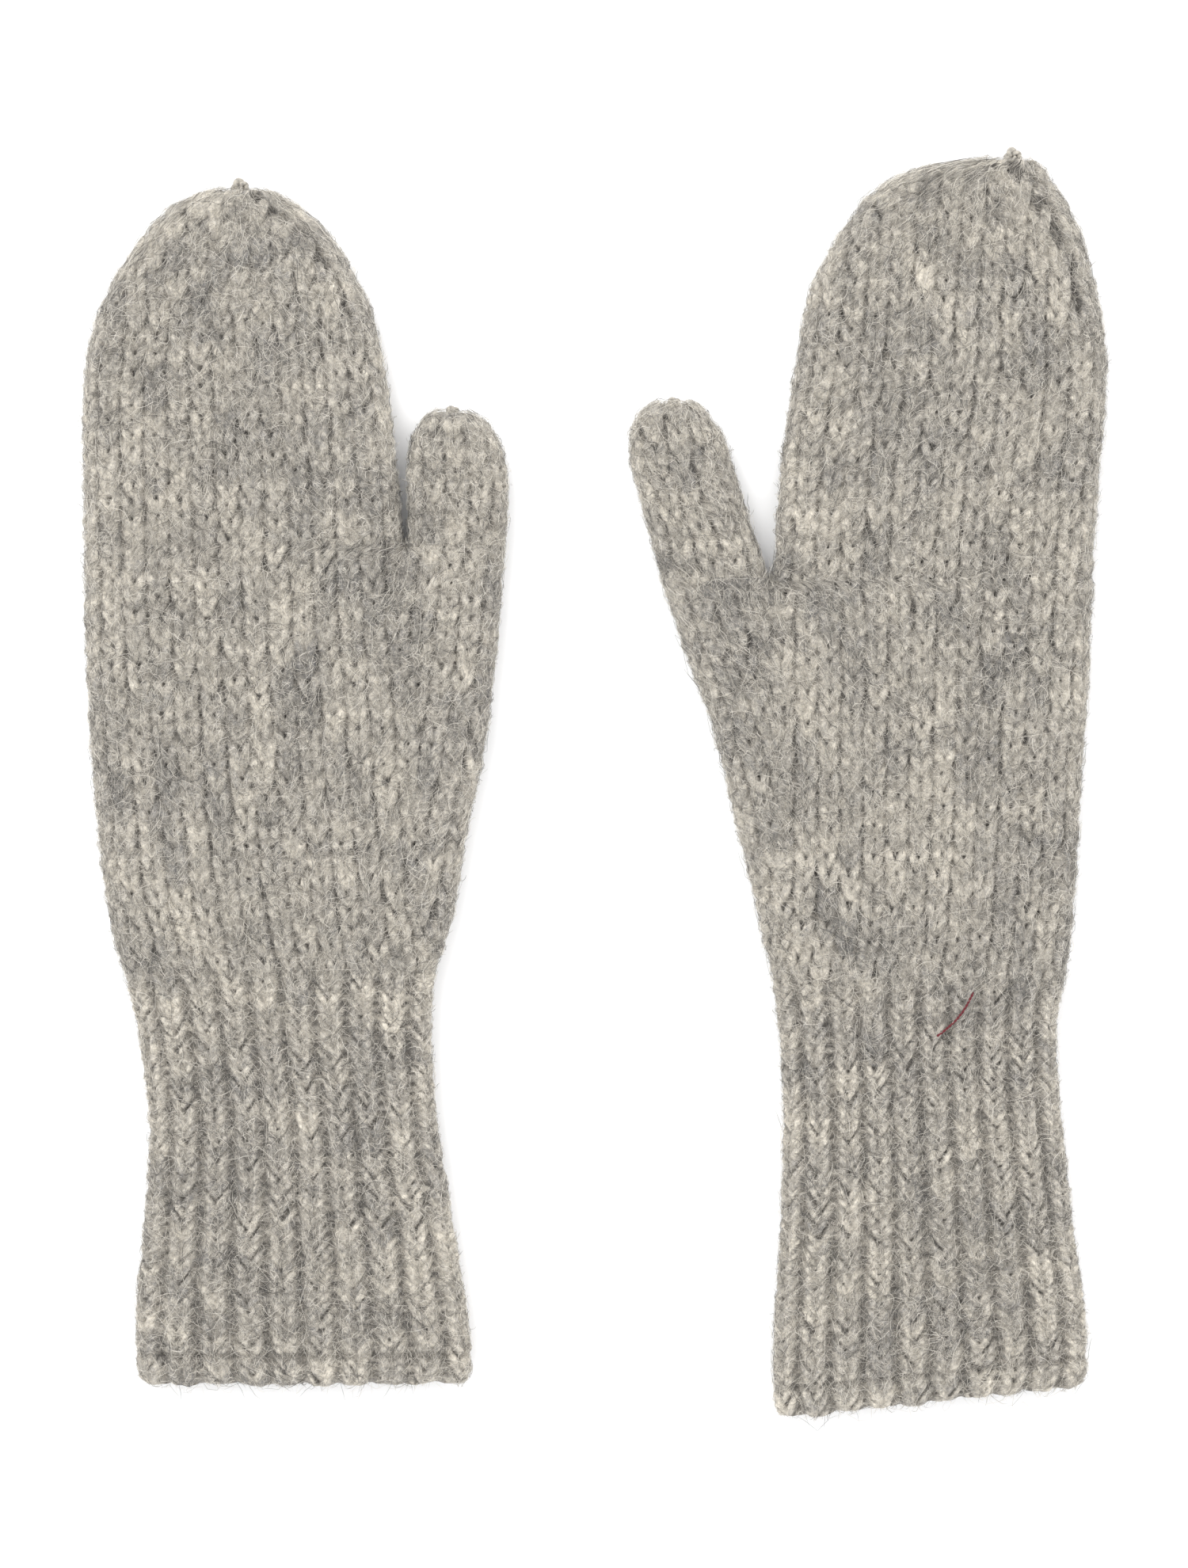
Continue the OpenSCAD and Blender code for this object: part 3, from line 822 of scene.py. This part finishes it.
def cable(name, path, radius, material, sides, lay, shade):
    """A two-ply yarn twisted along a path, with round closed ends."""
    plies = 2
    path = np.asarray(path, float)
    run = np.gradient(path, axis=0)
    run /= np.linalg.norm(run, axis=1, keepdims=True)
    up = np.array([0.0, 0.0, 1.0])
    side = np.cross(run, up)
    side /= np.maximum(np.linalg.norm(side, axis=1, keepdims=True), 1e-6)
    upward = np.cross(side, run)
    gone = np.concatenate([[0], np.cumsum(np.linalg.norm(np.diff(path, axis=0), axis=1))])
    points, quads, tris, quad_map, tri_map = [], [], [], [], []
    n = len(path)
    for ply in range(plies):
        turn = 2 * math.pi * (gone / lay + ply / plies)
        out = np.cos(turn)[:, None] * side + np.sin(turn)[:, None] * upward
        centre = path + 0.5 * radius * out
        r = 0.62 * radius * np.sqrt(np.clip(np.minimum(gone, gone[-1] - gone) / radius, 0.04, 1))
        first = len(points)
        for i in range(n):
            for q in range(sides):
                a = 2 * math.pi * q / sides
                out = math.cos(a) * side[i] + math.sin(a) * upward[i]
                points.append(centre[i] + r[i] * out)
        for i in range(n - 1):
            for q in range(sides):
                a, b = first + i * sides + q, first + i * sides + (q + 1) % sides
                quads.append((a, b, b + sides, a + sides))
                u, v = i / (n + 2), (ply * sides + q) / (plies * sides)
                du, dv = 1 / (n + 2), 1 / (plies * sides)
                quad_map.append(((u, v), (u, v + dv), (u + du, v + dv), (u + du, v)))
        points += [centre[0], centre[-1]]
        start, stop = len(points) - 2, len(points) - 1
        for q in range(sides):
            tris.append((start, first + (q + 1) % sides, first + q))
            end = first + (n - 1) * sides
            tris.append((stop, end + q, end + (q + 1) % sides))
            v = (ply * sides + q) / (plies * sides)
            for u in ((n + 0.1) / (n + 2), (n + 1.1) / (n + 2)):
                tri_map.append(((u, v), (u + 0.8 / (n + 2), v), (u, v + dv)))
    # The second attribute is a little painted shade, even all over the yarn.
    data = [
        ("tone", "FLOAT", np.full(len(points), shade)),
        ("painted_shade", "FLOAT", np.full(len(points), 0.1)),
        ("yarn", "FLOAT_VECTOR", np.array(points)),
        ("shade", "FLOAT", np.full(len(points), shade)),
    ]
    faces = [np.array(quads)[:, ::-1], np.array(tris)[:, ::-1]]
    maps = [np.array(quad_map)[:, ::-1], np.array(tri_map)]
    return make_mesh(name, np.array(points), faces, maps, material, data)


# ---------------------------------------------------------------- materials


class Nodes:
    """A short way to build one material's node tree."""

    def __init__(self, name):
        self.material = bpy.data.materials.new(name)
        self.material.use_nodes = True
        self.tree = self.material.node_tree
        self.shader = self.tree.nodes["Principled BSDF"]

    def add(self, kind, **settings):
        node = self.tree.nodes.new(kind)
        for key, value in settings.items():
            if key.startswith("in_"):
                node.inputs[key[3:].replace("_", " ")].default_value = value
            else:
                setattr(node, key, value)
        return node

    def link(self, out, into):
        self.tree.links.new(out, into)

    def attribute(self, name):
        return self.add("ShaderNodeAttribute", attribute_name=name)

    def maths(self, operation, a, b, clamp=False):
        node = self.add("ShaderNodeMath", operation=operation, use_clamp=clamp)
        for i, v in enumerate((a, b)):
            if isinstance(v, (int, float)):
                node.inputs[i].default_value = v
            else:
                self.link(v, node.inputs[i])
        return node.outputs[0]

    def ramp(self, value, stops):
        node = self.add("ShaderNodeValToRGB")
        marks = node.color_ramp.elements
        while len(marks) < len(stops):
            marks.new(0.5)
        for mark, (at, colour) in zip(marks, stops):
            mark.position, mark.color = at, (*colour, 1)
        self.link(value, node.inputs[0])
        return node.outputs[0]

    def noise(self, vector, scale, detail=2.0, rough=0.5):
        node = self.add("ShaderNodeTexNoise", in_Scale=scale, in_Detail=detail, in_Roughness=rough)
        self.link(vector, node.inputs["Vector"])
        return node.outputs["Fac"]

    def stretched(self, vector, scale):
        node = self.add("ShaderNodeMapping")
        node.inputs["Scale"].default_value = scale
        self.link(vector, node.inputs["Vector"])
        return node.outputs["Vector"]


# The marl's colours, from dark to light
WOOL = [
    (0.0, (0.135, 0.132, 0.129)),
    (0.28, (0.262, 0.249, 0.229)),
    (0.5, (0.388, 0.362, 0.318)),
    (0.72, (0.505, 0.468, 0.402)),
    (1.0, (0.700, 0.648, 0.555)),
]

FIBRE = [
    (0.0, (0.070, 0.069, 0.070)),
    (0.35, (0.255, 0.243, 0.225)),
    (0.65, (0.425, 0.396, 0.348)),
    (1.0, (0.800, 0.760, 0.690)),
]


def wool_material(name, painted_shade_strength, tint):
    """Marled yarn: strands along it, fine flecks, and painted shade that darkens it where the fabric is
    sunk.
    """
    n = Nodes(name)
    place = n.add("ShaderNodeTexCoord").outputs["Object"]
    tone = n.attribute("tone").outputs["Fac"]
    painted_shade = n.attribute("painted_shade").outputs["Fac"]
    yarn = n.attribute("yarn").outputs["Vector"]
    strands = n.noise(n.stretched(yarn, (0.35, 3.2, 1.0)), 1.0, 3.0, 0.6)
    flecks = n.noise(place, 1300.0, 2.0, 0.6)
    clouds = n.noise(place, 330.0, 2.0, 0.5)
    value = n.maths("ADD", tone, n.maths("MULTIPLY", n.maths("SUBTRACT", strands, 0.5), 0.9))
    value = n.maths("ADD", value, n.maths("MULTIPLY", n.maths("SUBTRACT", flecks, 0.5), 1.1))
    value = n.maths("ADD", value, n.maths("MULTIPLY", n.maths("SUBTRACT", clouds, 0.5), 0.4))
    value = n.maths("ADD", value, tint, True)
    # Painted shade: the colour is multiplied towards dark grey where the fabric is sunk.
    shaded = n.add("ShaderNodeMix", data_type="RGBA", blend_type="MULTIPLY")
    n.link(n.maths("MULTIPLY", painted_shade, painted_shade_strength), shaded.inputs["Factor"])
    n.link(n.ramp(value, WOOL), shaded.inputs["A"])
    shaded.inputs["B"].default_value = (0.16, 0.15, 0.145, 1)
    n.link(shaded.outputs["Result"], n.shader.inputs["Base Color"])
    n.shader.inputs["Roughness"].default_value = 0.93
    n.shader.inputs["Specular IOR Level"].default_value = 0.15
    n.shader.inputs["Sheen Weight"].default_value = 0.25
    n.shader.inputs["Sheen Roughness"].default_value = 0.6
    n.shader.inputs["Sheen Tint"].default_value = (0.9, 0.87, 0.85, 1)
    bump = n.add("ShaderNodeBump", in_Strength=0.6, in_Distance=0.00025)
    n.link(n.maths("ADD", strands, n.maths("MULTIPLY", flecks, 0.6)), bump.inputs["Height"])
    n.link(bump.outputs["Normal"], n.shader.inputs["Normal"])
    return n.material


def fibre_material(name):
    n = Nodes(name)
    shade = n.attribute("shade").outputs["Fac"]
    place = n.add("ShaderNodeTexCoord").outputs["Object"]
    speck = n.noise(place, 400.0, 1.0, 0.5)
    value = n.maths("ADD", shade, n.maths("MULTIPLY", n.maths("SUBTRACT", speck, 0.5), 0.25), True)
    n.link(n.ramp(value, FIBRE), n.shader.inputs["Base Color"])
    n.shader.inputs["Roughness"].default_value = 0.75
    n.shader.inputs["Specular IOR Level"].default_value = 0.25
    return n.material


def thread_material(name):
    n = Nodes(name)
    place = n.add("ShaderNodeTexCoord").outputs["Object"]
    streak = n.noise(place, 2600.0, 2.0, 0.6)
    reds = [(0.25, (0.05, 0.004, 0.007)), (0.75, (0.18, 0.014, 0.022))]
    n.link(n.ramp(streak, reds), n.shader.inputs["Base Color"])
    n.shader.inputs["Roughness"].default_value = 0.7
    bump = n.add("ShaderNodeBump", in_Strength=0.4, in_Distance=0.0001)
    n.link(streak, bump.inputs["Height"])
    n.link(bump.outputs["Normal"], n.shader.inputs["Normal"])
    return n.material


# ---------------------------------------------------------------- the pair


def place(obj, mitten, name, nodes, material_slot):
    """obj moves with the hand's body when it is part of the hand, and stays where it is made otherwise; the
    CAD nodes it stands for are hidden.
    """
    hand = mitten.side + "_hand_body"
    if name == "hand":
        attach(obj, hand)
    else:
        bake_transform(obj)
    if nodes:
        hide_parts(*nodes)


def knit_section(mitten, name):
    """One tube's fabric, in the pieces that the CAD has, and its loose fibres."""
    grid = Grid(mitten, name)
    grid.knit()
    last = len(grid.levels) - 1
    half, join = int(last * 0.5), int(round(THUMB_JOIN / GRID))
    hem = int(round(HEM_LINE / GRID))
    # Each piece is (CAD node, first row, last row, slot, closed at its end).
    pieces = {
        "hand": [("hand", 0, last, "stockinette_wool", False)],
        "fingers": [
            ("fingers", 0, half, "stockinette_wool", False),
            ("tip", half, last, "stockinette_wool", True),
        ],
        "thumb": [
            ("thumb_join", 0, join, "yarn_knot", False),
            ("thumb", join, last, "stockinette_wool", True),
        ],
        "cuff": [("hem", 0, hem, "rib_wool", False), ("cuff", hem, last, "rib_wool", False)],
    }[name]
    wool = rib_wool if name == "cuff" else knit_wool
    for node, low_row, high_row, slot, shut in pieces:
        obj = fabric(f"{mitten.side}_{node}_knit", grid, low_row, high_row, wool, shut)
        place(obj, mitten, name, [f"{mitten.side}_{node}"], slot)
    key = mitten.side + name
    hair = fuzz(f"{mitten.side}_{name}_fuzz", grid, FUZZ[name], fibres, key)
    place(hair, mitten, name, [], "rib_wool" if name == "cuff" else "stockinette_wool")
    return grid


def tie_knot(mitten, name, size, sink):
    """The drawn-in yarn that closes a tip, as a small coil sunk into it."""
    low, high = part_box(f"{mitten.side}_{name}_knot")
    centre = np.array((low + high) / 2) / MM
    turn = np.linspace(0, 2.3 * math.pi, 26)
    wide = size * (1.05 - 0.25 * turn / turn[-1])
    x = centre[0] + wide * np.cos(turn)
    y = centre[1] - sink + 0.8 * wide * np.sin(turn)
    z = centre[2] + 0.8 * np.sin(turn * 0.5) + 0.3
    path = np.stack([x, y, z], -1)
    knot = cable(f"{mitten.side}_{name}_knot_yarn", path, size * 0.95, knot_wool, 12, 5.0, 0.45)
    part = "fingers" if name == "tip" else "thumb"
    place(knot, mitten, part, [f"{mitten.side}_{name}_knot"], "yarn_knot")


def lay_thread(mitten, grid):
    """The short sewing thread that lies bowed over the ribs, following their heights."""
    low, high = (np.array(corner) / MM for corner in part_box("tack_thread"))
    t = np.linspace(0, 1, 60)
    chord = low[:2] - high[:2]
    across = np.array([-chord[1], chord[0]]) / np.hypot(*chord)
    flat = high[:2] + chord * t[:, None] + across * (1.3 * np.sin(math.pi * t))[:, None]
    cloud = grid.skin.reshape(-1, 3)
    cloud = cloud[(cloud[:, 2] > 8) & (np.abs(cloud[:, 0] - flat[:, 0].mean()) < 20)]
    heights = []
    for x, y in flat:
        near = np.hypot(cloud[:, 0] - x, cloud[:, 1] - y) < 1.6
        heights.append(cloud[near, 2].max())
    heights = np.convolve(np.pad(heights, 4, mode="edge"), np.ones(9) / 9, mode="valid")
    path = np.column_stack([flat, heights + 0.22])
    thread = cable("tack_thread_twist", path, 0.33, red_thread, 8, 2.2, 0.5)
    place(thread, mitten, "cuff", ["tack_thread"], "sewing_thread")


# The second number sets how strongly the painted shade darkens each wool.
knit_wool = wool_material("knit_wool", 0.78, -0.015)
rib_wool = wool_material("rib_wool", 0.52, 0.01)
knot_wool = wool_material("knot_wool", 0.5, 0.05)
fibres = fibre_material("wool_fibres")
red_thread = thread_material("red_thread")

for side in ("left", "right"):
    mitten = Mitten(side)
    grids = {name: knit_section(mitten, name) for name in ("hand", "fingers", "thumb", "cuff")}
    tie_knot(mitten, "tip", 1.5, 1.3)
    tie_knot(mitten, "thumb", 1.1, 1.9)
    if side == "right":
        lay_thread(mitten, grids["cuff"])

# ---------------------------------------------------------------- floor, light and camera


def lay_floor():
    bpy.ops.mesh.primitive_plane_add(size=FLOOR_SIZE, location=(0, 0, 0))
    floor = bpy.context.object
    floor.name = "floor"
    n = Nodes("pale_floor")
    n.shader.inputs["Base Color"].default_value = (0.93, 0.93, 0.935, 1)
    n.shader.inputs["Roughness"].default_value = 0.9
    floor.data.materials.append(n.material)


def light_world():
    world = bpy.data.worlds.new("studio")
    bpy.context.scene.world = world
    world.use_nodes = True
    background = world.node_tree.nodes["Background"]
    background.inputs["Color"].default_value = (1.0, 1.0, 1.0, 1)
    background.inputs["Strength"].default_value = WORLD_LIGHT


def softbox(name, place_at, size, power):
    """A square area lamp that faces the mittens."""
    data = bpy.data.lights.new(name, "AREA")
    data.shape, data.size, data.energy = "SQUARE", size, power
    lamp = bpy.data.objects.new(name, data)
    bpy.context.scene.collection.objects.link(lamp)
    lamp.location = place_at
    lamp.rotation_euler = (-Vector(place_at)).to_track_quat("-Z", "Y").to_euler()


def hang_camera():
    """Straight over the pair, looking down."""
    data = bpy.data.cameras.new("camera")
    camera = bpy.data.objects.new("camera", data)
    bpy.context.scene.collection.objects.link(camera)
    data.lens, data.sensor_width, data.sensor_fit = 85.0, 36.0, "AUTO"
    up = MID_HEIGHT + LONG_SIDE * data.lens / data.sensor_width
    camera.location = (-0.0003, -0.0005, up)
    camera.rotation_euler = (0, 0, 0)
    data.clip_start, data.clip_end = 0.05, 20
    bpy.context.scene.camera = camera


lay_floor()
light_world()
softbox("key", (-0.75, 0.95, 1.5), 1.1, 18.0)
softbox("fill", (0.9, -0.5, 1.7), 1.6, 8.0)
hang_camera()
view = bpy.context.scene.view_settings
view.view_transform = "Standard"
view.look = "None"
view.exposure = 0.0
